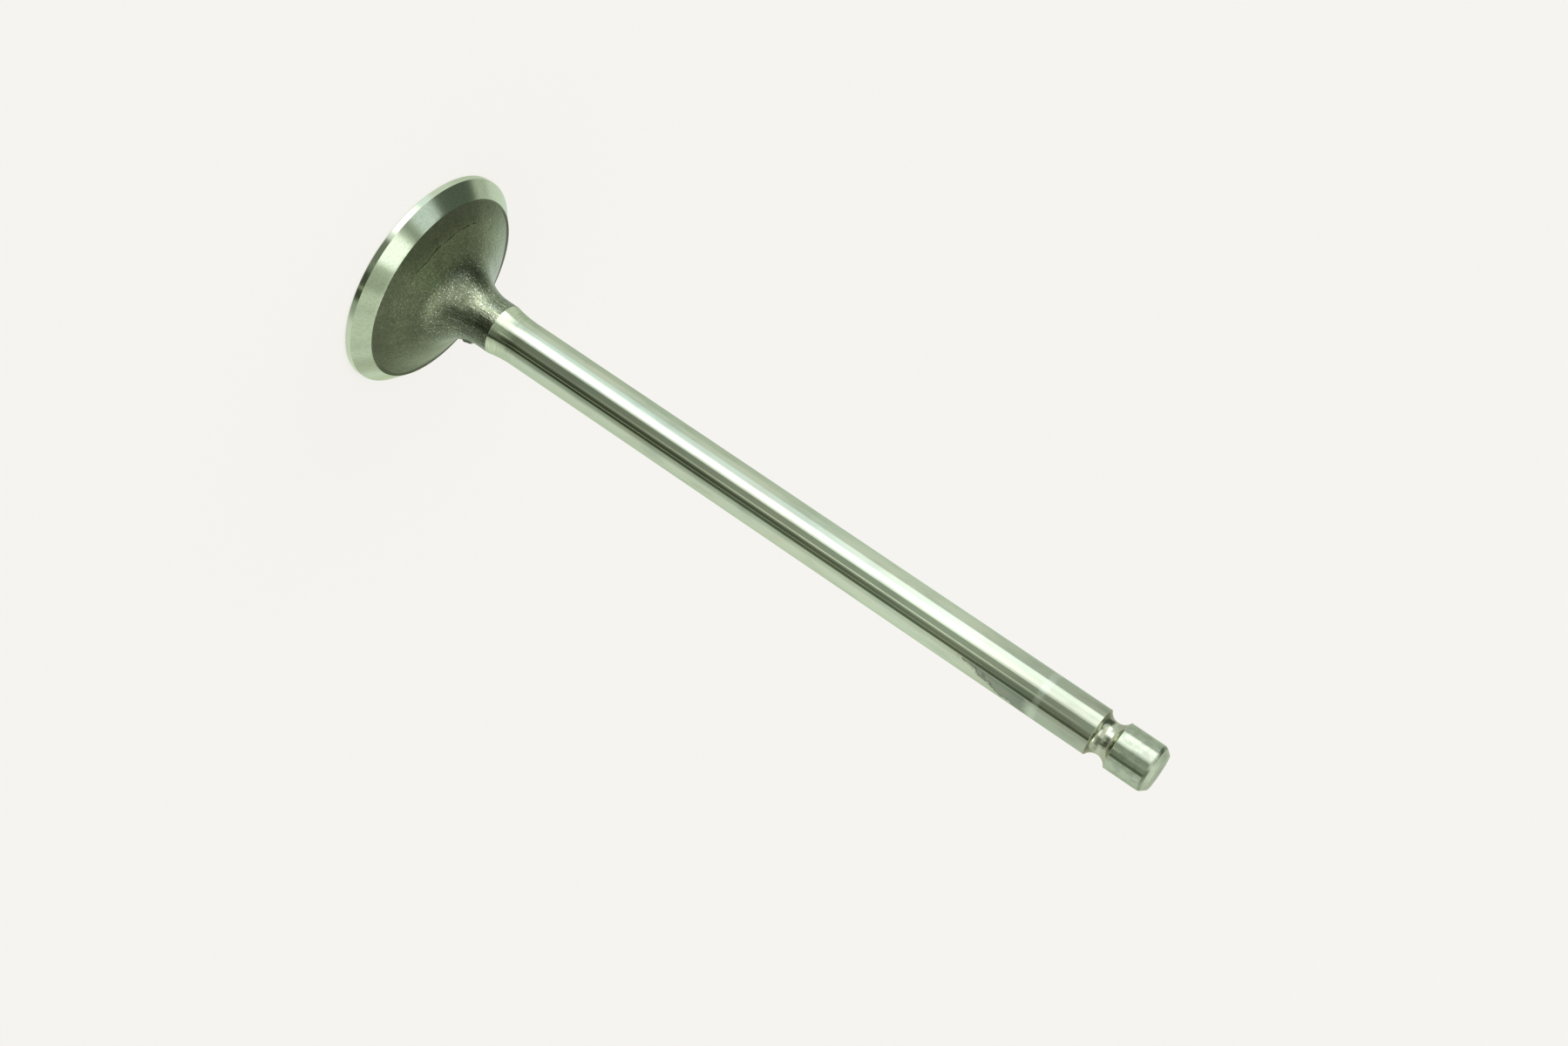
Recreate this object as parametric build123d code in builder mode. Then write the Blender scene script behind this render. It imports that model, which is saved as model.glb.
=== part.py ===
from build123d import *

import os
from math import cos, radians, sin, sqrt

# Engine poppet valve, forged and turned in one piece. Millimetres.
# It stands on its combustion face: origin at the middle of that face, +Z up the stem to the tip.
# Every outline below is half of the section, as (radius, height), and is spun once about Z.

# Head
head_diameter = 43.4
margin_height = 1.3  # straight rim below the seat
seat_angle = 45.0  # from the plane of the head
seat_width = 3.8  # ground face, measured along its slope
head_edge_break = 0.15  # small chamfer between combustion face and rim
seat_edge_round = 0.25  # corner between seat and underhead

# Underhead and neck, left as forged
underhead_angle = 23.5  # cone behind the seat, from the plane of the head
trumpet_radius = 9.9  # hollow sweep that carries the cone up into the neck
neck_diameter = 10.1
forged_height = 19.0  # the skin of the forging ends here, and grinding starts

# Stem, ground
stem_diameter = 9.0
runout_radius = 25.0  # corner of the grinding wheel, where it leaves the stem for the neck

# Keeper groove: the round bead inside each keeper half seats here
groove_to_tip = 10.15  # middle of the groove, down from the end of the tip
groove_radius = 2.2
groove_root_diameter = 6.5
groove_edge_round = 0.12

# Tip
overall_length = 163.0
tip_chamfer_height = 1.2
tip_face_diameter = 7.0
tip_round = 1.1  # rolls the chamfer into the stem
tip_edge_round = 0.3  # and the end face into the chamfer

# Places that follow from the sizes above
head_radius = head_diameter / 2
neck_radius = neck_diameter / 2
stem_radius = stem_diameter / 2
root_radius = groove_root_diameter / 2
tip_radius = tip_face_diameter / 2

seat_top_radius = head_radius - seat_width * cos(radians(seat_angle))
cone_top_radius = neck_radius + trumpet_radius * (1 - sin(radians(underhead_angle)))
cone_length = (seat_top_radius - cone_top_radius) / cos(radians(underhead_angle))

neck_step = neck_radius - stem_radius
runout_height = sqrt(runout_radius**2 - (runout_radius - neck_step) ** 2)
ground_height = forged_height + runout_height  # the stem has its full finish above this

groove_height = overall_length - groove_to_tip
groove_centre_radius = root_radius + groove_radius
groove_half_width = sqrt(groove_radius**2 - (groove_centre_radius - stem_radius) ** 2)

with BuildPart() as valve:
    with BuildSketch(Plane.XZ):
        with BuildLine():
            face = Line((0, 0), (head_radius, 0))
            margin = Line(face @ 1, (head_radius, margin_height))
            seat = PolarLine(margin @ 1, seat_width, angle=180 - seat_angle)
            cone = PolarLine(seat @ 1, cone_length, angle=180 - underhead_angle)
            trumpet = JernArc(cone @ 1, cone % 1, trumpet_radius, underhead_angle - 90)
            neck = Line(trumpet @ 1, (neck_radius, forged_height))
            runout = TangentArc((stem_radius, ground_height), neck @ 1, tangent=(0, -1))
            stem = Line(runout @ 0, (stem_radius, groove_height - groove_half_width))
            groove_end = (stem_radius, groove_height + groove_half_width)
            groove = ThreePointArc(stem @ 1, (root_radius, groove_height), groove_end)
            land = Line(groove @ 1, (stem_radius, overall_length - tip_chamfer_height))
            chamfered = Line(land @ 1, (tip_radius, overall_length))
            tip = Line(chamfered @ 1, (0, overall_length))
            Line(tip @ 1, face @ 0)
        make_face()
        chamfer(vertices().sort_by_distance(face @ 1)[0], head_edge_break)
        for corner, radius in (
            (seat @ 1, seat_edge_round),
            (groove @ 0, groove_edge_round),
            (groove @ 1, groove_edge_round),
            (land @ 1, tip_round),
            (tip @ 0, tip_edge_round),
        ):
            fillet(vertices().sort_by_distance(corner)[0], radius)
    revolve(axis=Axis.Z)

valve.part.label = "valve"

os.makedirs("parts", exist_ok=True)
export_step(valve.part, "parts/valve.step")
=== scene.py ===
import math

import bpy
from mathutils import Matrix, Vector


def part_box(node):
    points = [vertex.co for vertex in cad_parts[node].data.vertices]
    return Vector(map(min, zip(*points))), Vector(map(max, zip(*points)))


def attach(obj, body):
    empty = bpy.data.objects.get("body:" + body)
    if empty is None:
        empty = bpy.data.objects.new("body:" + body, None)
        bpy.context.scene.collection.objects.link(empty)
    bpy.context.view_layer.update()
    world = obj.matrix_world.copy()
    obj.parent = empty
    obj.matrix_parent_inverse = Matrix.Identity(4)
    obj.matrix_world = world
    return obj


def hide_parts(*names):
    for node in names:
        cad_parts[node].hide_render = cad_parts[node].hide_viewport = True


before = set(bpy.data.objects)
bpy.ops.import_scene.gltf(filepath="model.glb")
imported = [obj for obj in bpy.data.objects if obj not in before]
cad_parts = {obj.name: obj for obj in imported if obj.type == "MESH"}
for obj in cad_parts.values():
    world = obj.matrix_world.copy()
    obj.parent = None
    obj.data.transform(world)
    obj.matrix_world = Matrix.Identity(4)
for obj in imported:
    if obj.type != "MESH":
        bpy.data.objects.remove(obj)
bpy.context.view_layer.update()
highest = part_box("valve")[1]
headRadius = highest.x
tipHeight = highest.z
print("frame loaded, the valve is", round(tipHeight * 1000, 2), "mm tall")


class Wire:                      # one socket of a shader tree, with sums written as Python
    def __init__(self, tree, socket=None):
        self.tree = tree
        self.socket = socket

    def node(self, kind, settings=None, sockets=None, out=0):
        made = self.tree.nodes.new("ShaderNode" + kind)
        for name, value in (settings or {}).items():
            setattr(made, name, value)
        for name, value in (sockets or {}).items():
            if isinstance(value, Wire):
                self.tree.links.new(value.socket, made.inputs[name])
            else:
                made.inputs[name].default_value = value
        return Wire(self.tree, made.outputs[out] if made.outputs else None)

    def math(self, operation, first, second=0.0):
        return self.node("Math", {"operation": operation}, {0: first, 1: second})

    def __add__(self, other):
        return self.math("ADD", self, other)

    def __radd__(self, other):
        return self.math("ADD", other, self)

    def __sub__(self, other):
        return self.math("SUBTRACT", self, other)

    def __rsub__(self, other):
        return self.math("SUBTRACT", other, self)

    def __mul__(self, other):
        return self.math("MULTIPLY", self, other)

    def __rmul__(self, other):
        return self.math("MULTIPLY", other, self)

    def __truediv__(self, other):
        return self.math("DIVIDE", self, other)

    def __rtruediv__(self, other):
        return self.math("DIVIDE", other, self)

    def axis(self, letter):
        return self.node("SeparateXYZ", {}, {0: self}, letter)

    def rise(self, low, high):
        settings = {"interpolation_type": "SMOOTHSTEP"}
        return self.node("MapRange", settings, {"Value": self, "From Min": low, "From Max": high})

    def band(self, low, high, soft):
        return self.rise(low - soft, low + soft) * (1 - self.rise(high - soft, high + soft))

    def tint(self, plain, tinted):       # sockets 6 and 7 and output 2 are the colours
        return self.node("Mix", {"data_type": "RGBA"}, {0: self, 6: plain, 7: tinted}, 2)


def rgb(red, green, blue):
    return (red, green, blue, 1.0)


def newMaterial(name):
    material = bpy.data.materials.new(name)
    material.use_nodes = True
    material.node_tree.nodes.clear()
    return material, Wire(material.node_tree)


def objectSpot(wire):
    return wire.node("TexCoord", out="Object")


def fromAxis(spot):
    x = spot.axis("X")
    y = spot.axis("Y")
    return spot.math("SQRT", x * x + y * y)


def aroundAxis(spot):            # degrees from the front towards +X
    return spot.math("ARCTAN2", spot.axis("X"), 0 - spot.axis("Y")) * (180 / math.pi)


def stretched(spot, across, along):
    scale = (1 / across, 1 / across, 1 / along)
    return spot.node("Mapping", {}, {"Vector": spot, "Scale": scale})


def noise(spot, size=1.0, detail=2.0, rough=0.5, seed=0.0):
    settings = {"noise_dimensions": "4D"}
    sockets = {"Vector": spot, "W": seed, "Scale": 1 / size, "Detail": detail, "Roughness": rough}
    return spot.node("TexNoise", settings, sockets)


def shaded(colour, shade):
    start = colour if isinstance(colour, Wire) else colour[:3]
    return shade.node("VectorMath", {"operation": "SCALE"}, {0: start, "Scale": shade})


def bump(height):                # the height is in metres
    return height.node("Bump", {}, {"Height": height, "Distance": 1.0})


def finishMaterial(wire, sockets, scale=None, scaleColour=None):
    shader = wire.node("BsdfPrincipled", {}, sockets)
    if scale is not None:        # matt scale over the steel
        matt = wire.node("BsdfDiffuse", {}, {"Color": scaleColour})
        shader = wire.node("MixShader", {}, {0: scale, 1: shader, 2: matt})
    wire.node("OutputMaterial", {}, {"Surface": shader})


# sizes of the valve in metres, as the solid has them
valveShape = {
    "edgeBreak": 0.00015,        # chamfer round the combustion face
    "marginHeight": 0.0013,
    "seatWidth": 0.0038,
    "seatAngle": 45.0,
    "seatRound": 0.00025,
    "underheadAngle": 23.5,
    "trumpetRadius": 0.0099,
    "neckRadius": 0.00505,
    "forgedHeight": 0.0190,      # the forged skin ends here and the grinding starts
    "stemRadius": 0.0045,
    "runoutRadius": 0.025,
    "grooveToTip": 0.01015,
    "grooveRadius": 0.0022,
    "grooveRootRadius": 0.00325,
    "grooveRound": 0.00012,
    "tipChamferHeight": 0.0012,
    "tipFaceRadius": 0.0035,
    "tipRound": 0.0011,
    "tipEdgeRound": 0.0003,
    "landWrap": 0.0004,          # the land's finish goes on this far over the tip's round
    "around": 256,               # facets round the axis
    "smoothAngle": 9.0,          # edges sharper than this stay crisp
    "unevenness": 0.00003,       # how far the forged skin wanders
    "unevenSize": 0.0028,
    "unevenDetail": 2,
    "unevenStart": 0.0001,       # the wandering starts this far above the seat
    "unevenFade": 0.0009,        # and fades in and out over this height
    "touching": 0.000002,        # points this close are one
}


def workOut(shape):
    seat = math.radians(shape["seatAngle"])
    under = math.radians(shape["underheadAngle"])
    trumpet = shape["trumpetRadius"]
    seatTop = (headRadius - shape["seatWidth"] * math.cos(seat),
               shape["marginHeight"] + shape["seatWidth"] * math.sin(seat))
    coneTop = shape["neckRadius"] + trumpet * (1 - math.sin(under))
    coneRise = (seatTop[0] - coneTop) * math.tan(under)
    trumpetTop = seatTop[1] + coneRise + trumpet * math.cos(under)
    step = shape["neckRadius"] - shape["stemRadius"]
    runoutAngle = math.acos(1 - step / shape["runoutRadius"])
    grooveHeight = tipHeight - shape["grooveToTip"]
    grooveAway = shape["grooveRootRadius"] + shape["grooveRadius"]
    grooveAngle = math.acos((grooveAway - shape["stemRadius"]) / shape["grooveRadius"])
    return {
        "seatTop": seatTop,
        "coneTop": (coneTop, seatTop[1] + coneRise),
        "trumpetAngle": math.pi / 2 - under,
        "trumpetTop": trumpetTop,
        "runoutAngle": runoutAngle,
        "groundHeight": shape["forgedHeight"] + shape["runoutRadius"] * math.sin(runoutAngle),
        "grooveHeight": grooveHeight,
        "grooveAway": grooveAway,
        "grooveAngle": grooveAngle,
        "grooveStart": grooveHeight - shape["grooveRadius"] * math.sin(grooveAngle),
        "grooveEnd": grooveHeight + shape["grooveRadius"] * math.sin(grooveAngle),
        "chamferStart": tipHeight - shape["tipChamferHeight"],
    }


derived = workOut(valveShape)


class Outline:                   # half section, drawn from the middle of the face to the middle of the tip
    def __init__(self):
        self.radius = 0.0
        self.height = 0.0
        bpy.ops.object.select_all(action="DESELECT")
        bpy.ops.mesh.primitive_plane_add(size=headRadius, location=(0, 0, 0))
        bpy.ops.object.mode_set(mode="EDIT")
        bpy.ops.mesh.merge(type="CENTER")

    def line(self, radius, height, steps=1):
        stride = ((radius - self.radius) / steps, 0, (height - self.height) / steps)
        for each in range(steps):
            bpy.ops.mesh.extrude_region_move(TRANSFORM_OT_translate={"value": stride})
        self.radius, self.height = radius, height

    def arc(self, centreRadius, centreHeight, angle, steps):
        centre = (centreRadius, 0, centreHeight)
        bpy.ops.mesh.spin(steps=steps, angle=-angle, center=centre, axis=(0, 1, 0))
        away, up = self.radius - centreRadius, self.height - centreHeight
        self.radius = centreRadius + away * math.cos(angle) + up * math.sin(angle)
        self.height = centreHeight + up * math.cos(angle) - away * math.sin(angle)


def drawOutline(shape):
    trumpetAway = shape["neckRadius"] + shape["trumpetRadius"]
    runoutAway = shape["stemRadius"] + shape["runoutRadius"]
    outline = Outline()
    outline.line(headRadius, 0, steps=14)
    outline.line(headRadius, shape["marginHeight"], steps=2)
    outline.line(*derived["seatTop"], steps=6)
    outline.line(*derived["coneTop"], steps=30)
    outline.arc(trumpetAway, derived["trumpetTop"], derived["trumpetAngle"], steps=44)
    outline.line(shape["neckRadius"], shape["forgedHeight"], steps=8)
    outline.arc(runoutAway, derived["groundHeight"], derived["runoutAngle"], steps=14)
    outline.line(shape["stemRadius"], derived["grooveStart"], steps=24)
    outline.arc(derived["grooveAway"], derived["grooveHeight"], 2 * derived["grooveAngle"], steps=30)
    outline.line(shape["stemRadius"], derived["chamferStart"], steps=4)
    outline.line(shape["tipFaceRadius"], tipHeight)
    outline.line(0, tipHeight, steps=6)


def turnOutline(shape):
    bpy.ops.mesh.select_all(action="SELECT")
    bpy.ops.mesh.spin(steps=shape["around"], angle=2 * math.pi, center=(0, 0, 0), axis=(0, 0, 1))
    bpy.ops.mesh.select_all(action="SELECT")
    bpy.ops.mesh.remove_doubles(threshold=shape["touching"])
    bpy.ops.mesh.normals_make_consistent(inside=False)


def selectRing(piece, radius, height):
    bpy.ops.mesh.select_all(action="DESELECT")
    bpy.ops.object.mode_set(mode="OBJECT")
    near = 2 * valveShape["touching"]
    onRing = []
    for point in piece.data.vertices:
        away = abs(math.hypot(point.co.x, point.co.y) - radius)
        onRing.append(away < near and abs(point.co.z - height) < near)
    for edge in piece.data.edges:
        edge.select = all(onRing[end] for end in edge.vertices)
    bpy.ops.object.mode_set(mode="EDIT")


def softenRing(piece, radius, height, size, segments):
    selectRing(piece, radius, height)
    bpy.ops.mesh.bevel(offset=size, segments=segments, affect="EDGES")


def roundRing(piece, radius, height, rounding, turn, segments):
    softenRing(piece, radius, height, rounding * math.tan(turn / 2), segments)


def softenEdges(piece, shape):
    stem = shape["stemRadius"]
    seatTurn = math.radians(shape["seatAngle"] - shape["underheadAngle"])
    tipTurn = math.atan2(stem - shape["tipFaceRadius"], shape["tipChamferHeight"])
    endTurn = math.pi / 2 - tipTurn
    softenRing(piece, headRadius, 0, shape["edgeBreak"], segments=1)
    roundRing(piece, *derived["seatTop"], shape["seatRound"], seatTurn, segments=4)
    for height in (derived["grooveStart"], derived["grooveEnd"]):
        roundRing(piece, stem, height, shape["grooveRound"], derived["grooveAngle"], segments=10)
    roundRing(piece, stem, derived["chamferStart"], shape["tipRound"], tipTurn, segments=9)
    roundRing(piece, shape["tipFaceRadius"], tipHeight, shape["tipEdgeRound"], endTurn, segments=9)


def roughenForging(piece, shape):
    group = piece.vertex_groups.new(name="forging")
    low = derived["seatTop"][1] + shape["unevenStart"]
    high = shape["forgedHeight"]
    fade = shape["unevenFade"]
    for point in piece.data.vertices:
        weight = min((point.co.z - low) / fade, (high - point.co.z) / fade, 1.0)
        if weight > 0:
            group.add([point.index], weight, "REPLACE")
    lumps = bpy.data.textures.new("forgingLumps", "CLOUDS")
    lumps.noise_scale = shape["unevenSize"]
    lumps.noise_depth = shape["unevenDetail"]
    displace = piece.modifiers.new("forging", "DISPLACE")
    displace.texture = lumps
    displace.texture_coords = "LOCAL"
    displace.vertex_group = group.name
    displace.strength = shape["unevenness"]
    bpy.ops.object.modifier_apply(modifier=displace.name)
    piece.vertex_groups.clear()


neckBurr = {
    "turn": 97.0,                # degrees from the front towards +X
    "halfTurn": 1.6,
    "height": (0.0133, 0.0149),
    "rise": 0.00040,
    "spread": 0.00058,
}


def raiseBurr(piece, burr):
    bpy.ops.object.mode_set(mode="EDIT")
    bpy.ops.mesh.select_all(action="DESELECT")
    bpy.ops.object.mode_set(mode="OBJECT")
    low, high = burr["height"]
    middle = math.radians(burr["turn"])
    halfTurn = math.radians(burr["halfTurn"])
    for point in piece.data.vertices:
        turn = math.atan2(point.co.x, -point.co.y)
        point.select = low < point.co.z < high and abs(turn - middle) < halfTurn
    bpy.ops.object.mode_set(mode="EDIT")
    outward = (burr["rise"] * math.sin(middle), -burr["rise"] * math.cos(middle), 0)
    bpy.ops.transform.translate(value=outward, use_proportional_edit=True,
                                proportional_size=burr["spread"], proportional_edit_falloff="SMOOTH")
    bpy.ops.object.mode_set(mode="OBJECT")


def makeValve(shape):
    drawOutline(shape)
    turnOutline(shape)
    piece = bpy.context.object
    piece.name = "valve_body"
    softenEdges(piece, shape)
    bpy.ops.object.mode_set(mode="OBJECT")
    roughenForging(piece, shape)
    raiseBurr(piece, neckBurr)
    bpy.ops.object.shade_smooth_by_angle(angle=math.radians(shape["smoothAngle"]))
    print("valve mesh made,", len(piece.data.polygons), "faces")
    return piece


grindRotation = 0.25             # of a turn, so that ground steel's highlights stretch along the axis

# In the finishes a turn is in degrees from the front towards +X. Its third value softens both its ends.
forgedFinish = {
    "steel": rgb(0.243, 0.285, 0.176),
    "scaleColour": rgb(0.075, 0.090, 0.054),
    "edgeTint": rgb(0.84, 0.92, 0.82),
    "specular": 0.2,
    "roughness": 0.19,
    "grainSize": 0.00038,
    "grainDepth": 0.000085,
    "grainShade": 1.3,
    "pitSize": 0.0011,
    "pitDepth": 0.000024,
    "patchSize": 0.0035,
    "patchShade": 0.6,
    "patchRoughness": 0.1,
    "fleckSteel": rgb(0.80, 0.85, 0.72),
    "fleckSize": 0.00025,
    "fleckLevel": (0.59, 0.70),
    "fleckRadius": (0.0080, 0.0125),     # thick inside these radii and thin outside
    "fleckRest": 0.3,
    "streakCount": 15,                   # streaks up the neck, over one radian
    "streakLength": 0.0035,
    "streakRadius": (0.0052, 0.0088),    # they grow weaker between these radii
    "streakRest": 0.22,                  # and this much of them goes on to the seat
    "streakShade": 1.7,
    "streakDepth": 0.000030,
    "scaleTurn": (0, 62, 9),             # dark scale left on the neck
    "scaleRadius": (0.0052, 0.0064),
    "scaleShade": 0.42,
    "duskFrom": (-0.001, 0.0065),        # the +X side is a little duller
    "duskShade": 0.20,
    "duskMetal": 0.10,
    "duskRoughness": 0.06,
    "outerRadius": (0.0145, 0.0180),
    "outerShade": 0.20,                  # on the -X side
    "outerBack": (0, 0.006),             # the -X side's back starts here
    "outerRest": 0.35,                   # and has this much of it
    "outerScale": (0.25, 0.42),          # share of matt scale there, on the -X side and the +X side
    # painted shade: the skin darkens inside these radii, in the concave fillet where the head meets the stem
    "trumpetRadius": (0.0070, 0.0135),
    "filletPaintedShade": 0.24,
    "lapRadius": 0.0150,                 # thin lap left by the dies, part of the way round
    "lapWidth": 0.00022,
    "lapWander": 0.0022,
    "lapTurn": (-66, 4, 5),
    "lapGaps": (0.42, 0.5),
    "lapShade": 0.75,
    "lapBeyond": (0.0007, 0.26),         # the skin outside the lap darkens over this width, by this much
    "paintedSheenTurn": (-31, 0, 4),            # painted highlight: a brighter strip up the neck
    "paintedSheenRadius": (0.0053, 0.0064),
    "paintedSheenLight": 0.36,
    "paintedEdgeRadius": (0.01815, 0.01835),    # painted shade: a dark matt strip along the far edge
    "paintedEdgeTurn": (-96, 76, 8),            # and none between these turns
    "paintedEdgeWidensFrom": (0.004, 0.016),
    "paintedEdgeWidening": 0.0022,              # at the very back
    "edgeScale": 0.85,
    "nickSpots": ((0.01195, -0.01266, 0.00468), (-0.01553, -0.00203, 0.00544)),
    "nickSize": 0.00035,
    "nickShade": 1.1,
    "burrHalfTurn": 5,                   # scale round the burr
    "burrSoftTurn": 2,
    "burrSoftHeight": 0.0002,
    "burrShade": 0.7,
    "burrScale": 0.6,
}


def neckStreaks(finish, spot, radius):
    count = finish["streakCount"]
    meridian = spot.node("CombineXYZ", {}, {
        "X": spot.axis("X") / radius * count,
        "Y": spot.axis("Y") / radius * count,
        "Z": (spot.axis("Z") - radius) * (1 / finish["streakLength"]),
    })
    neckShare = 1 - radius.rise(*finish["streakRadius"]) * (1 - finish["streakRest"])
    return (noise(meridian, seed=15) - 0.5) * neckShare


def steelFlecks(finish, spot, radius):
    share = 1 - radius.rise(*finish["fleckRadius"]) * (1 - finish["fleckRest"])
    return noise(spot, finish["fleckSize"], detail=1, seed=14).rise(*finish["fleckLevel"]) * share


def dieLap(finish, radius, turn, patches, pits):
    away = radius + patches * finish["lapWander"] - finish["lapRadius"]
    partWay = turn.band(*finish["lapTurn"])
    half = finish["lapWidth"] / 2
    lap = away.band(-half, half, half) * partWay * pits.rise(*finish["lapGaps"])
    beyondWidth, beyondShade = finish["lapBeyond"]
    beyond = away.rise(0, beyondWidth) * partWay * beyondShade
    return (1 - lap * finish["lapShade"]) * (1 - beyond)


# painted shade in the fillet, a painted highlight up the neck, and the neck's real dark scale
def neckScaleAndPaintedLight(finish, radius, turn):
    trumpet = 1 - radius.rise(*finish["trumpetRadius"])
    # painted highlight up the neck
    paintedSheen = turn.band(*finish["paintedSheenTurn"]) * (1 - radius.rise(*finish["paintedSheenRadius"]))
    scale = turn.band(*finish["scaleTurn"]) * (1 - radius.rise(*finish["scaleRadius"]))
    shade = (1 - trumpet * finish["filletPaintedShade"]) * (1 + paintedSheen * finish["paintedSheenLight"])
    return shade * (1 - scale * finish["scaleShade"])


def nickShine(finish, spot):
    shine = 0
    for nick in finish["nickSpots"]:
        away = spot.node("VectorMath", {"operation": "DISTANCE"}, {0: spot, 1: nick}, "Value")
        shine = shine + (1 - away.rise(0, finish["nickSize"])) * finish["nickShade"]
    return shine


def farEdgePaintedShade(finish, spot, radius, turn):
    wider = spot.axis("Y").rise(*finish["paintedEdgeWidensFrom"]) * finish["paintedEdgeWidening"]
    return (radius + wider).rise(*finish["paintedEdgeRadius"]) * (1 - turn.band(*finish["paintedEdgeTurn"]))


def burrSkin(finish, burr, spot, turn):
    low = burr["turn"] - finish["burrHalfTurn"]
    high = burr["turn"] + finish["burrHalfTurn"]
    tall = spot.axis("Z").band(*burr["height"], finish["burrSoftHeight"])
    return turn.band(low, high, finish["burrSoftTurn"]) * tall


def forgedSkin(finish, burr):
    material, wire = newMaterial("forged_skin")
    spot = objectSpot(wire)
    radius = fromAxis(spot)
    turn = aroundAxis(spot)
    patches = noise(spot, finish["patchSize"], detail=5, rough=0.6) - 0.5
    grain = noise(spot, finish["grainSize"], detail=3, rough=0.6, seed=1) - 0.5
    pits = noise(spot, finish["pitSize"], detail=3, rough=0.55, seed=2)
    streaks = neckStreaks(finish, spot, radius)
    dusk = spot.axis("X").rise(*finish["duskFrom"])
    back = spot.axis("Y").rise(*finish["outerBack"]) * (1 - dusk)
    outer = radius.rise(*finish["outerRadius"]) * (1 - back * (1 - finish["outerRest"]))
    onBurr = burrSkin(finish, burr, spot, turn)

    shade = 1 + patches * finish["patchShade"] + grain * finish["grainShade"]
    shade = shade + streaks * finish["streakShade"] + nickShine(finish, spot)
    shade = shade * (1 - dusk * finish["duskShade"])
    shade = shade * (1 - outer * (1 - dusk) * finish["outerShade"])
    shade = shade * dieLap(finish, radius, turn, patches, pits) * neckScaleAndPaintedLight(finish, radius, turn)
    shade = shade * (1 - onBurr * finish["burrShade"])

    least, most = finish["outerScale"]
    scale = outer * (dusk * (most - least) + least)
    # the far edge's dark matt strip is painted shade
    scale = wire.math("MAXIMUM", scale, farEdgePaintedShade(finish, spot, radius, turn) * finish["edgeScale"])
    scale = wire.math("MAXIMUM", scale, onBurr * finish["burrScale"])

    height = grain * finish["grainDepth"] + pits * finish["pitDepth"]
    flecks = steelFlecks(finish, spot, radius)
    finishMaterial(wire, {
        "Base Color": shaded(flecks.tint(finish["steel"], finish["fleckSteel"]), shade),
        "Roughness": (finish["roughness"] + dusk * finish["duskRoughness"]
                      + patches * finish["patchRoughness"]),
        "Metallic": 1 - dusk * finish["duskMetal"],
        "Specular IOR Level": finish["specular"],
        "Specular Tint": finish["edgeTint"],
        "Normal": bump(height + streaks * finish["streakDepth"]),
    }, scale, finish["scaleColour"])
    return material


seatFinish = {
    "steel": rgb(0.50, 0.585, 0.415),
    "edgeTint": rgb(0.86, 0.92, 0.82),
    "stretch": 0.3,
    "roughness": 0.14,
    "speckleSize": 0.0005,
    "speckleLevel": (0.35, 0.8),
    "speckleRoughness": 0.06,
    "lightest": 1.12,            # times the steel's colour, where there is no speckle
    "speckleShade": 0.22,
    "markSize": (0.004, 0.00008),        # length round the seat and width of the grinding marks
    "markDepth": 0.0000025,
}


def groundSeat(finish):
    material, wire = newMaterial("ground_seat")
    spot = objectSpot(wire)
    speckle = noise(spot, finish["speckleSize"], detail=4, rough=0.65, seed=3)
    marks = noise(stretched(spot, *finish["markSize"]), seed=4)
    shade = finish["lightest"] - speckle.rise(*finish["speckleLevel"]) * finish["speckleShade"]
    finishMaterial(wire, {
        "Base Color": shaded(finish["steel"], shade),
        "Roughness": finish["roughness"] + speckle * finish["speckleRoughness"],
        "Metallic": 1.0,
        "Anisotropic": finish["stretch"],
        "Anisotropic Rotation": grindRotation,
        "Specular Tint": finish["edgeTint"],
        "Normal": bump((marks + speckle) * finish["markDepth"]),
    })
    return material


rimFinish = {
    "steel": rgb(0.56, 0.64, 0.46),
    "edgeTint": rgb(0.90, 0.97, 0.84),
    "stretch": 0.6,
    "roughness": 0.13,
    "markSize": (0.006, 0.00012),
    "markDepth": 0.000002,
    "markRoughness": 0.06,
}


def turnedRim(finish):
    material, wire = newMaterial("turned_rim")
    spot = objectSpot(wire)
    marks = noise(stretched(spot, *finish["markSize"]), seed=5)
    finishMaterial(wire, {
        "Base Color": finish["steel"],
        "Roughness": finish["roughness"] + marks * finish["markRoughness"],
        "Metallic": 1.0,
        "Anisotropic": finish["stretch"],
        "Anisotropic Rotation": grindRotation,
        "Specular Tint": finish["edgeTint"],
        "Normal": bump(marks * finish["markDepth"]),
    })
    return material


faceFinish = {
    "steel": rgb(0.48, 0.56, 0.42),
    "shadow": rgb(0.36, 0.42, 0.32),
    "roughness": 0.24,
    "ringPitch": 0.00022,
    "ringDepth": 0.000004,
    "patchSize": 0.003,
    "patchLevel": (0.35, 0.75),
    "patchRoughness": 0.1,
}


def turnedFace(finish):
    material, wire = newMaterial("turned_face")
    spot = objectSpot(wire)
    rings = wire.math("SINE", fromAxis(spot) * (2 * math.pi / finish["ringPitch"]))
    patches = noise(spot, finish["patchSize"], detail=4, rough=0.6, seed=6)
    finishMaterial(wire, {
        "Base Color": patches.rise(*finish["patchLevel"]).tint(finish["steel"], finish["shadow"]),
        "Roughness": finish["roughness"] + patches * finish["patchRoughness"],
        "Metallic": 1.0,
        "Normal": bump(rings * finish["ringDepth"]),
    })
    return material


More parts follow.
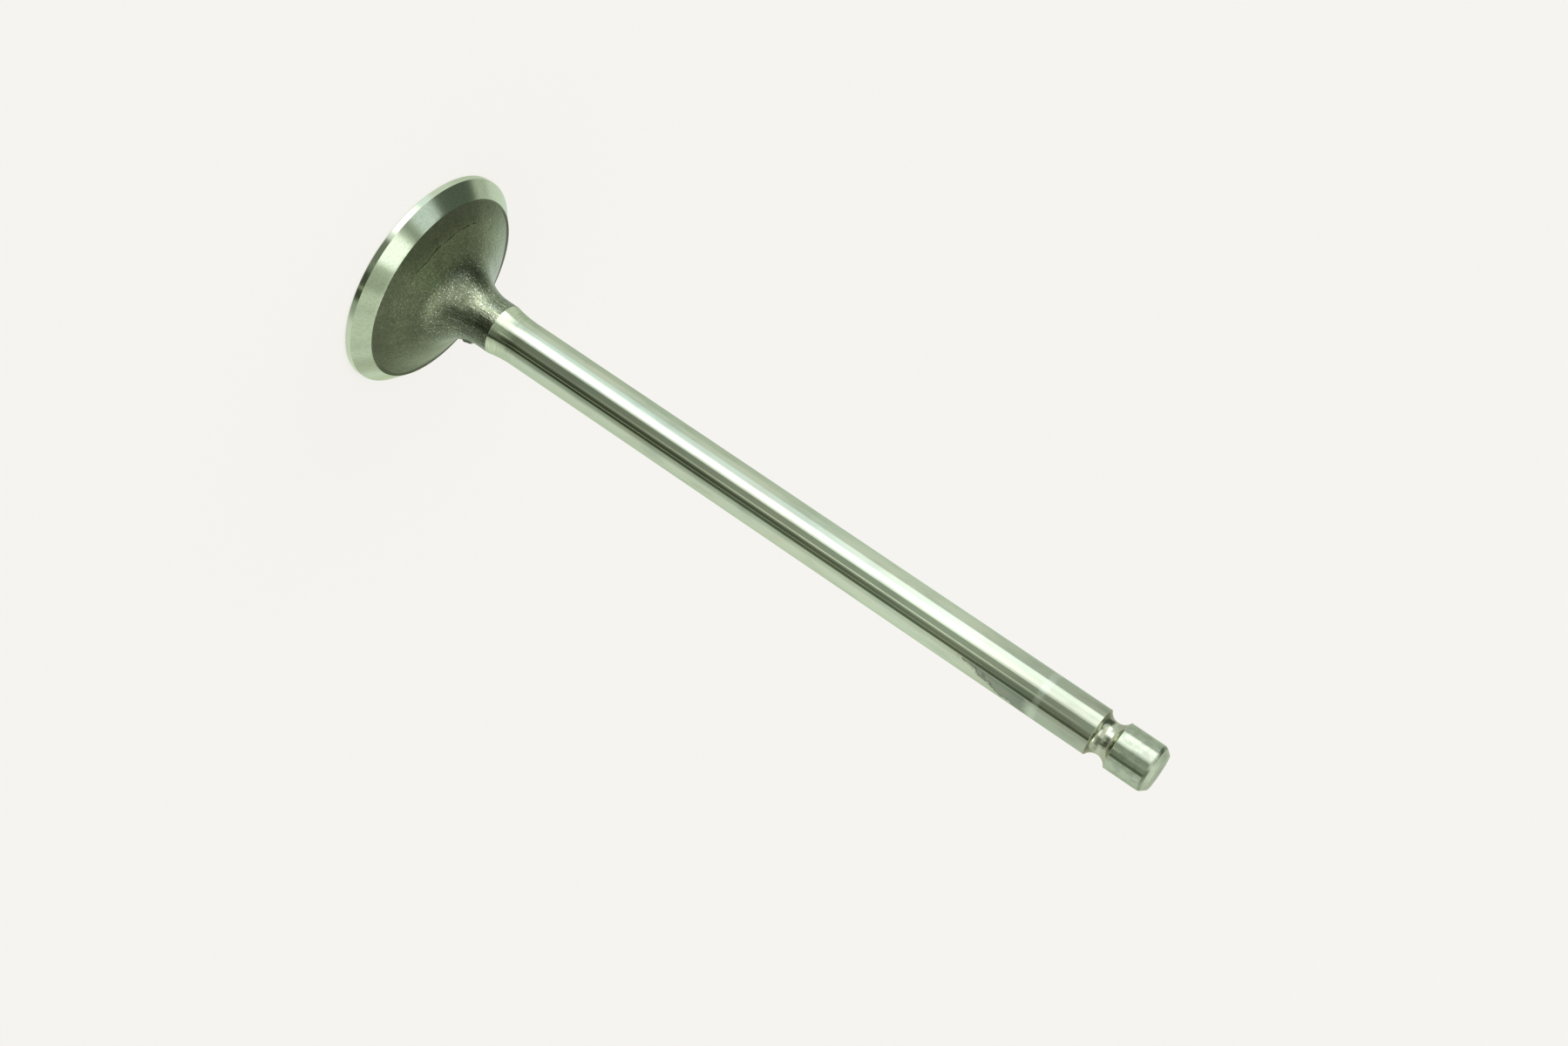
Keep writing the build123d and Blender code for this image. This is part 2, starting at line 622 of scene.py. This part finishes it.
stemFinish = {
    "steel": rgb(0.50, 0.585, 0.435),
    "warmSteel": rgb(0.52, 0.575, 0.42),
    "edgeTint": rgb(0.74, 0.82, 0.70),
    "stretch": 0.6,
    "lightest": 1.06,                    # times the steel's colour, where there is no smear
    "dullFrom": (0.118, 0.143),
    "dullShare": 0.68,                   # how bright the tip's end of the stem is beside the rest
    "roughness": 0.085,
    "markSize": (0.006, 0.00010),
    "markDepth": 0.0000008,
    "cloudSize": (0.003, 0.012),
    "warmLevel": (0.35, 0.65),
    "smearSize": (0.0022, 0.007),
    "smearLevel": (0.42, 0.8),
    "smearShade": 0.20,
    "smearRoughLevel": (0.5, 0.8),
    "smearRoughness": 0.03,
    "ringSteel": rgb(0.45, 0.52, 0.40),  # frosted ring where the finer grinding stops
    "ringHeight": 0.1400,
    "ringWidth": 0.0013,
    "ringWander": 0.001,
    "ringSoft": 0.0004,
    "ringMetal": 0.13,                   # how much less metallic it is
    "ringRoughness": 0.10,
    "tipRoughness": 0.13,
    "tipMarks": 1.5,                     # how much deeper the marks are past the ring
    "runoutHeight": (0.0205, 0.0285),
    "runoutSteel": rgb(0.46, 0.53, 0.365),
    "runoutRoughness": 0.11,
    "runoutMarks": 3,
    "stainTurn": (10, 33, 5),            # dark stain on the run-out
    "stainShade": 0.42,
    "scratchSize": (0.0025, 0.00022),
    "scratchShade": 0.9,
}

# a dried smudge near the tip: a wedge that widens towards the tip
smudgeFinish = {
    "height": (0.1245, 0.1385),
    "softHeight": 0.0008,
    "start": 34,                         # its straight side, in degrees towards +X
    "end": (37, 78),                     # its other side, at its low end and its high end
    "soft": 6,
    "wanderSize": 0.0022,
    "wanderTurn": 60,
    "wanderHeight": 0.003,
    "shade": 0.42,
    "dryingEdge": (-8, -1, 4),           # degrees from its other side
    "dryingShade": 0.22,
}


def stemSmudge(smudge, spot, z, turn):
    wander = noise(spot, smudge["wanderSize"], detail=3, rough=0.6, seed=12) - 0.5
    low, high = smudge["height"]
    first, last = smudge["end"]
    soft = smudge["soft"]
    wedge = (z - low) * ((last - first) / (high - low)) + first
    past = turn + wander * smudge["wanderTurn"] - wedge
    drying = past.band(*smudge["dryingEdge"]) * smudge["dryingShade"] / smudge["shade"]
    inside = (1 - past.rise(-soft, soft)) * (1 + drying)
    start = turn.rise(smudge["start"] - soft, smudge["start"])
    tall = (z + wander * smudge["wanderHeight"]).band(low, high, smudge["softHeight"])
    return 1 - tall * start * inside * smudge["shade"]


def groundStem(finish, smudge):
    material, wire = newMaterial("ground_stem")
    spot = objectSpot(wire)
    z = spot.axis("Z")
    turn = aroundAxis(spot)
    marks = noise(stretched(spot, *finish["markSize"]), seed=7)
    scratches = noise(stretched(spot, *finish["scratchSize"]), rough=0.6, seed=16) - 0.5
    smears = noise(stretched(spot, *finish["smearSize"]), detail=4, rough=0.55, seed=8)
    clouds = noise(stretched(spot, *finish["cloudSize"]), detail=3, seed=17)
    middle = finish["ringHeight"]
    half = finish["ringWidth"] / 2
    soft = finish["ringSoft"]
    ring = (z + (clouds - 0.5) * finish["ringWander"]).band(middle - half, middle + half, soft)
    pastRing = z.rise(middle - soft, middle + soft)
    runout = 1 - z.rise(*finish["runoutHeight"])

    plain = finish["roughness"]
    roughness = plain + ring * finish["ringRoughness"] + pastRing * (finish["tipRoughness"] - plain)
    roughness = roughness + runout * (finish["runoutRoughness"] - plain)
    roughness = roughness + smears.rise(*finish["smearRoughLevel"]) * finish["smearRoughness"]

    dull = 1 - z.rise(*finish["dullFrom"]) * (1 - finish["dullShare"])
    shade = dull * (finish["lightest"] - smears.rise(*finish["smearLevel"]) * finish["smearShade"])
    shade = shade * stemSmudge(smudge, spot, z, turn)
    shade = shade * (1 - turn.band(*finish["stainTurn"]) * runout * finish["stainShade"])
    shade = shade * (1 + scratches * runout * finish["scratchShade"])

    steel = clouds.rise(*finish["warmLevel"]).tint(finish["steel"], finish["warmSteel"])
    steel = runout.tint(steel, finish["runoutSteel"])
    depth = (1 + runout * finish["runoutMarks"] + pastRing * finish["tipMarks"]) * finish["markDepth"]
    finishMaterial(wire, {
        "Base Color": ring.tint(shaded(steel, shade), finish["ringSteel"]),
        "Roughness": roughness,
        "Metallic": 1 - ring * finish["ringMetal"],
        "Anisotropic": finish["stretch"],
        "Anisotropic Rotation": grindRotation,
        "Specular Tint": finish["edgeTint"],
        "Normal": bump(marks * depth),
    })
    return material


grooveFinish = {
    "steel": rgb(0.45, 0.50, 0.365),
    "warmSteel": rgb(0.44, 0.475, 0.345),        # the flank next to the tip
    "warmFrom": (0.1530, 0.1538),
    "edgeTint": rgb(0.76, 0.78, 0.66),
    "roughness": 0.14,
    "markSize": (0.003, 0.00015),
    "markDepth": 0.000003,
    "markRoughness": 0.05,
    "edgeSteel": rgb(0.46, 0.47, 0.37),          # the two rounds along its edges
    "edgeWidth": 0.00002,
    "edgeSoft": 0.00003,
    "edgeRoughness": 0.35,
    "edgeScale": 0.5,
    "scaleColour": rgb(0.42, 0.42, 0.31),
}


def turnedGroove(finish):
    material, wire = newMaterial("turned_groove")
    spot = objectSpot(wire)
    z = spot.axis("Z")
    marks = noise(stretched(spot, *finish["markSize"]), seed=9)
    low = derived["grooveStart"] + finish["edgeWidth"]
    high = derived["grooveEnd"] - finish["edgeWidth"]
    edge = 1 - z.band(low, high, finish["edgeSoft"])
    steel = z.rise(*finish["warmFrom"]).tint(finish["steel"], finish["warmSteel"])
    plain = finish["roughness"]
    roughness = plain + marks * finish["markRoughness"] + edge * (finish["edgeRoughness"] - plain)
    finishMaterial(wire, {
        "Base Color": edge.tint(steel, finish["edgeSteel"]),
        "Roughness": roughness,
        "Metallic": 1.0,
        "Specular Tint": finish["edgeTint"],
        "Normal": bump(marks * finish["markDepth"]),
    }, edge * finish["edgeScale"], finish["scaleColour"])
    return material


landFinish = {
    "steel": rgb(0.365, 0.425, 0.312),
    "edgeTint": rgb(0.72, 0.80, 0.66),
    "stretch": 0.3,
    "lightest": 1.08,            # times the steel's colour, where there is no patch
    "roughness": 0.12,
    "markSize": (0.004, 0.00015),
    "markDepth": 0.000003,
    "patchSize": 0.0015,
    "patchLevel": (0.45, 0.62),
    "patchShade": 0.2,
    "patchRoughness": 0.06,
    "wornRoughness": 0.30,       # on the round at its end
    "wornFrom": (0.0005, 0.0001),        # below the chamfer
}


def tipLand(finish):
    material, wire = newMaterial("tip_land")
    spot = objectSpot(wire)
    marks = noise(stretched(spot, *finish["markSize"]), seed=10)
    patches = noise(spot, finish["patchSize"], detail=4, rough=0.6, seed=11)
    low, high = [derived["chamferStart"] - below for below in finish["wornFrom"]]
    worn = spot.axis("Z").rise(low, high)
    plain = finish["roughness"]
    shade = finish["lightest"] - patches.rise(*finish["patchLevel"]) * finish["patchShade"]
    roughness = plain + patches * finish["patchRoughness"] + worn * (finish["wornRoughness"] - plain)
    finishMaterial(wire, {
        "Base Color": shaded(finish["steel"], shade),
        "Roughness": roughness,
        "Metallic": 1.0,
        "Anisotropic": finish["stretch"],
        "Anisotropic Rotation": grindRotation,
        "Specular Tint": finish["edgeTint"],
        "Normal": bump(marks * finish["markDepth"]),
    })
    return material


endFinish = {
    "steel": rgb(0.52, 0.60, 0.44),
    "edgeTint": rgb(0.72, 0.80, 0.66),
    "lightest": 1.1,
    "metal": 0.55,
    "roughness": 0.42,
    "grainSize": 0.0006,
    "grainDepth": 0.0000015,
    "grainShade": 0.2,
    "grainRoughness": 0.08,
    "wanderSize": 0.0020,
    "facingPitch": 0.00026,      # turning marks on the flat end
    "facingDepth": 0.0000020,
    "facingShade": 0.10,
    "facingSoft": 0.0003,        # they fade out over this width at the flat's edge
    "facingWander": 4,           # radians
    "strikeRadius": 0.0019,      # rubbed patch where the rocker bears
    "strikeShade": 0.12,
    "strikeSoft": 0.0004,
    "strikeWander": 0.0012,
}


def tipEnd(finish, faceRadius):
    material, wire = newMaterial("tip_end")
    spot = objectSpot(wire)
    radius = fromAxis(spot)
    grain = noise(spot, finish["grainSize"], detail=3, rough=0.6, seed=13)
    wander = noise(spot, finish["wanderSize"], seed=18) - 0.5
    flat = 1 - radius.rise(faceRadius - finish["facingSoft"], faceRadius)
    wave = radius * (2 * math.pi / finish["facingPitch"]) + wander * finish["facingWander"]
    facing = wire.math("SINE", wave) * flat
    reach = finish["strikeRadius"]
    strike = 1 - (radius + wander * finish["strikeWander"]).rise(reach - finish["strikeSoft"], reach)
    shade = finish["lightest"] - grain * finish["grainShade"] + facing * finish["facingShade"]
    finishMaterial(wire, {
        "Base Color": shaded(finish["steel"], shade * (1 - strike * finish["strikeShade"])),
        "Roughness": finish["roughness"] + grain * finish["grainRoughness"],
        "Metallic": finish["metal"],
        "Specular Tint": finish["edgeTint"],
        "Normal": bump(grain * finish["grainDepth"] + facing * finish["facingDepth"]),
    })
    return material


def dressValve(piece, shape):
    zones = [                    # each finish and the height that it reaches
        (turnedFace(faceFinish), shape["touching"]),
        (turnedRim(rimFinish), shape["marginHeight"]),
        (groundSeat(seatFinish), derived["seatTop"][1]),
        (forgedSkin(forgedFinish, neckBurr), shape["forgedHeight"]),
        (groundStem(stemFinish, smudgeFinish), derived["grooveStart"] - shape["grooveRound"]),
        (turnedGroove(grooveFinish), derived["grooveEnd"] + shape["grooveRound"]),
        (tipLand(landFinish), derived["chamferStart"] + shape["landWrap"]),
        (tipEnd(endFinish, shape["tipFaceRadius"]), tipHeight + shape["touching"]),
    ]
    for material, top in zones:
        piece.data.materials.append(material)
    for polygon in piece.data.polygons:
        height = polygon.center.z
        polygon.material_index = sum(height > top for material, top in zones)
    print("finishes set,", len(zones), "zones")


studio = {
    "background": rgb(0.922, 0.905, 0.871),
    "worldLevel": 0.6,
    "sunShare": 0.4,
    "sunAngle": 50.0,
    "sunTilt": (8, -6),          # degrees about X and Y
    "floorSize": 300.0,
    "shadowShare": 0.35,         # how much of the floor's shadow shows
    "paleRoom": rgb(0.90, 0.92, 0.92),
}

# What the polished steel mirrors: azimuth from the front towards +X, elevation above level, in degrees.
# A later panel covers an earlier one. A panel with a climb turns to its upper light over that elevation.
studioPanels = {
    "rightRoom": {"azimuth": (60, 150), "elevation": (-17, 4), "soft": 5, "light": rgb(1.0, 1.02, 1.02)},
    "leftWall": {
        "azimuth": (-190, -104), "elevation": (-95, 9), "soft": 8,
        "light": rgb(0.75, 0.77, 0.76), "upperLight": rgb(0.90, 0.92, 0.93), "climb": (-19, -13)},
    "upperRoom": {"azimuth": (-190, 190), "elevation": (26, 95), "soft": 12, "light": rgb(0.80, 0.83, 0.78)},
    "backLeft": {
        "azimuth": (-190, -122), "elevation": (8, 95), "soft": 7,
        "light": rgb(0.70, 0.71, 0.68), "upperLight": rgb(0.30, 0.30, 0.26), "climb": (10, 42)},
    "backRight": {
        "azimuth": (128, 190), "elevation": (4, 95), "soft": 7,
        "light": rgb(0.64, 0.64, 0.59), "upperLight": rgb(0.33, 0.33, 0.285), "climb": (12, 42)},
    "rightShade": {
        "azimuth": (40, 78), "elevation": (-95, 18), "soft": 10,
        "light": rgb(0.42, 0.45, 0.41), "upperLight": rgb(0.80, 0.83, 0.80), "climb": (-23, -13)},
    "mintWall": {
        "azimuth": (-72, -44), "elevation": (-95, 17), "soft": 4,
        "light": rgb(1.13, 1.2, 1.38), "upperLight": rgb(2.75, 2.7, 2.95), "climb": (-18, -5)},
    "mintTop": {"azimuth": (-64, -38), "elevation": (17, 42), "soft": 5, "light": rgb(1.35, 1.35, 1.35)},
    "mintSky": {"azimuth": (-84, -52), "elevation": (43, 60), "soft": 5, "light": rgb(0.92, 0.97, 1.09)},
    "midWall": {"azimuth": (17, 57), "elevation": (2, 62), "soft": 5, "light": rgb(0.43, 0.45, 0.40)},
    "midShade": {"azimuth": (20, 80), "elevation": (12, 45), "soft": 7, "light": rgb(0.27, 0.28, 0.25)},
    "topShade": {"azimuth": (-122, -46), "elevation": (64, 95), "soft": 5, "light": rgb(0.18, 0.19, 0.17)},
    "backGlow": {"azimuth": (-166, -135), "elevation": (53, 74), "soft": 5, "light": rgb(0.43, 0.44, 0.36)},
    "leftNook": {"azimuth": (-138, -98), "elevation": (-3, 11), "soft": 4, "light": rgb(0.28, 0.30, 0.27)},
    "darkCorner": {"azimuth": (-125, -82), "elevation": (5, 76), "soft": 4, "light": rgb(0.12, 0.14, 0.12)},
    "darkSpot": {"azimuth": (-51, -36), "elevation": (52, 68), "soft": 4, "light": rgb(0.30, 0.33, 0.30)},
    "rightHaze": {"azimuth": (76, 118), "elevation": (5, 28), "soft": 6, "light": rgb(0.60, 0.62, 0.58)},
    "rightPatch": {"azimuth": (76, 104), "elevation": (59, 71), "soft": 4, "light": rgb(3.1, 3.1, 2.9)},
    "greyFront": {
        "azimuth": (-14, 59), "elevation": (-95, 9), "soft": 3,
        "light": rgb(0.21, 0.225, 0.20), "upperLight": rgb(0.56, 0.59, 0.55), "climb": (-27, -6)},
    "oliveFront": {
        "azimuth": (26.5, 57), "elevation": (-95, 12), "soft": 2.5,
        "light": rgb(0.080, 0.088, 0.065), "upperLight": rgb(0.42, 0.44, 0.39), "climb": (-20, -3)},
    "darkEdge": {
        "azimuth": (45, 56), "elevation": (-95, 12), "soft": 1.5,
        "light": rgb(0.055, 0.065, 0.045), "upperLight": rgb(0.19, 0.22, 0.17), "climb": (-20, -6)},
    "darkLine": {"azimuth": (49, 59), "elevation": (-19, 12), "soft": 1.5, "light": rgb(0.15, 0.17, 0.13)},
    "firstLine": {
        "azimuth": (16.5, 19.5), "elevation": (-95, -8), "soft": 1,
        "light": rgb(0.30, 0.30, 0.25), "upperLight": rgb(1.5, 1.45, 1.3), "climb": (-24, -13)},
    "secondLine": {"azimuth": (43, 45), "elevation": (-95, -10), "soft": 0.7, "light": rgb(0.6, 0.62, 0.5)},
    "frontLow": {"azimuth": (-40, 20), "elevation": (12, 50), "soft": 5, "light": rgb(1.05, 1.05, 1.05)},
    "topLight": {"azimuth": (-28, 19), "elevation": (49, 67), "soft": 4, "light": rgb(1.9, 1.85, 2.0)},
    "sideEdge": {
        "azimuth": (-24, -10.5), "elevation": (-95, 17), "soft": 2.5,
        "light": rgb(1.05, 1.05, 1.15), "upperLight": rgb(1.5, 1.5, 1.6), "climb": (-24, -12)},
    "lowSide": {"azimuth": (-55, -40), "elevation": (-95, -21), "soft": 3, "light": rgb(1.9, 1.9, 2.1)},
    "sideLight": {
        "azimuth": (-45, -20), "elevation": (-95, 17), "soft": 4,
        "light": rgb(2.8, 2.7, 3.0), "upperLight": rgb(2.35, 2.25, 2.5), "climb": (-19, -11)},
    "backLow": {"azimuth": (158, 190), "elevation": (-30, 8), "soft": 6, "light": rgb(0.74, 0.77, 0.66)},
    "belowLeft": {"azimuth": (-190, 2), "elevation": (-95, -54), "soft": 6, "light": rgb(0.88, 0.88, 0.84)},
    "belowRight": {"azimuth": (2, 190), "elevation": (-95, -54), "soft": 6, "light": rgb(0.45, 0.45, 0.42)},
}


def mirroredRoom(direction):
    azimuth = aroundAxis(direction)
    elevation = direction.math("ARCSINE", direction.axis("Z")) * (180 / math.pi)
    mirrored = studio["paleRoom"]
    for panel in studioPanels.values():
        light = panel["light"]
        if "climb" in panel:
            light = elevation.rise(*panel["climb"]).tint(light, panel["upperLight"])
        across = azimuth.band(*panel["azimuth"], panel["soft"])
        upright = elevation.band(*panel["elevation"], panel["soft"])
        mirrored = (across * upright).tint(mirrored, light)
    return mirrored


def makeWorld():
    world = bpy.data.worlds.new("studio")
    bpy.context.scene.world = world
    world.use_nodes = True
    world.node_tree.nodes.clear()
    world.cycles.sampling_method = "NONE"
    wire = Wire(world.node_tree)
    mirrored = mirroredRoom(wire.node("TexCoord", out="Generated"))
    level = studio["worldLevel"]
    light = wire.node("LightPath", out="Is Glossy Ray").tint(rgb(level, level, level), mirrored)
    light = wire.node("LightPath", out="Is Camera Ray").tint(light, studio["background"])
    sky = wire.node("Background", {}, {"Color": light, "Strength": 1.0})
    wire.node("OutputWorld", {}, {"Surface": sky})


def makeFloor():
    bpy.ops.object.select_all(action="DESELECT")
    bpy.ops.mesh.primitive_plane_add(size=studio["floorSize"], location=(0, 0, 0))
    floor = bpy.context.object
    floor.name = "floor"
    material, wire = newMaterial("floor_card")
    matt = wire.node("BsdfDiffuse", {}, {"Color": studio["background"]})
    glow = wire.node("Emission", {}, {"Color": studio["background"], "Strength": 1.0})
    both = wire.node("MixShader", {}, {0: studio["shadowShare"], 1: glow, 2: matt})
    wire.node("OutputMaterial", {}, {"Surface": both})
    floor.data.materials.append(material)
    floor.visible_glossy = False
    floor.visible_shadow = False


def makeSun():
    aboutX, aboutY = studio["sunTilt"]
    bpy.ops.object.light_add(type="SUN", rotation=(math.radians(aboutX), math.radians(aboutY), 0))
    sun = bpy.context.object
    sun.name = "soft_sun"
    sun.data.angle = math.radians(studio["sunAngle"])
    sun.data.energy = studio["sunShare"] * math.pi
    sun.visible_glossy = False


cameraView = {
    "place": (0, -0.3998, 0.2014),
    "tilt": 73.703,              # from straight down
    "turn": -0.0658,
    "roll": 124.075,
    "lens": 54.12,
    "sensor": 36.0,
    "nearest": 0.01,
    "farthest": 1000,
}


def makeCamera(view):
    bpy.ops.object.camera_add()
    camera = bpy.context.object
    camera.name = "front_camera"
    turn = Matrix.Rotation(math.radians(view["turn"]), 4, "Z")
    tilt = Matrix.Rotation(math.radians(view["tilt"]), 4, "X")
    roll = Matrix.Rotation(math.radians(view["roll"]), 4, "Z")
    camera.matrix_world = Matrix.Translation(view["place"]) @ turn @ tilt @ roll
    camera.data.lens = view["lens"]
    camera.data.sensor_width = view["sensor"]
    camera.data.clip_start = view["nearest"]
    camera.data.clip_end = view["farthest"]
    bpy.context.scene.camera = camera


makeCamera(cameraView)
valve = makeValve(valveShape)
dressValve(valve, valveShape)
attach(valve, "root")
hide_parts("valve")
makeWorld()
makeFloor()
makeSun()
bpy.context.scene.view_settings.view_transform = "Standard"
print("studio ready")
